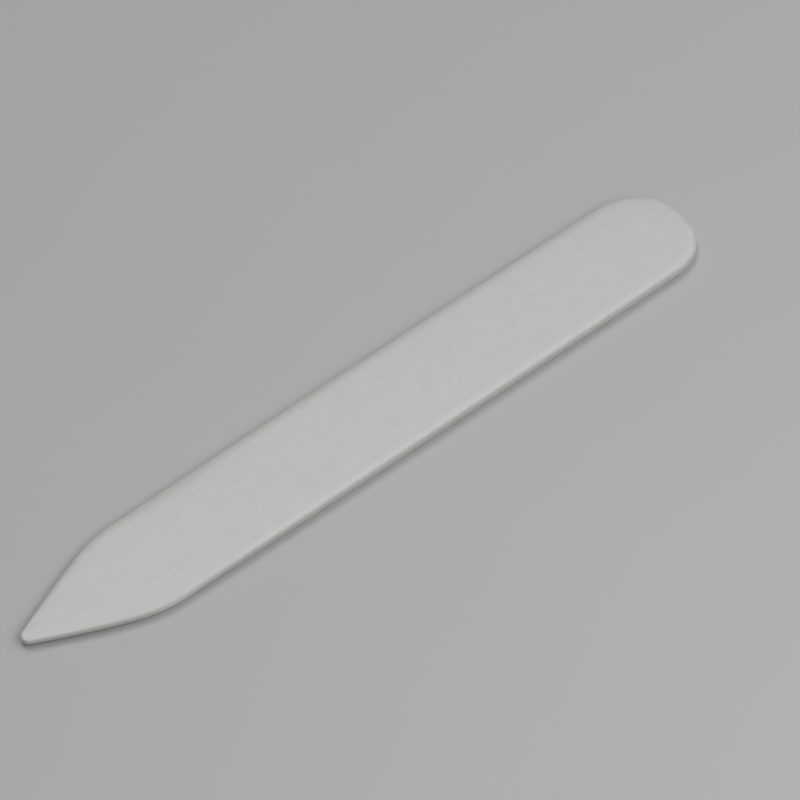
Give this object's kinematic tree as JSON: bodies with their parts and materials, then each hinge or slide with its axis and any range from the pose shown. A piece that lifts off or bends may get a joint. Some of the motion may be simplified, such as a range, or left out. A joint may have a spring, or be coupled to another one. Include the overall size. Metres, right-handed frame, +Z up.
{
  "type": "bone folder",
  "caption": "Long flat blade of ground bone with rounded edges, a thinned point for scoring and a round end for creasing and smoothing paper.",
  "frame": {"origin": "on the flat underside, below the middle of the blade's length and width", "axes": "+X along the blade towards its round end, with the point at -X; +Y across the blade; +Z up, out of the crowned top face"},
  "size_m": [0.14, 0.02, 0.0025],
  "materials": {
    "bone": "ground and polished bone, satin"
  },
  "bodies": {
    "root": {"blade": "bone"}
  },
  "joints": []
}
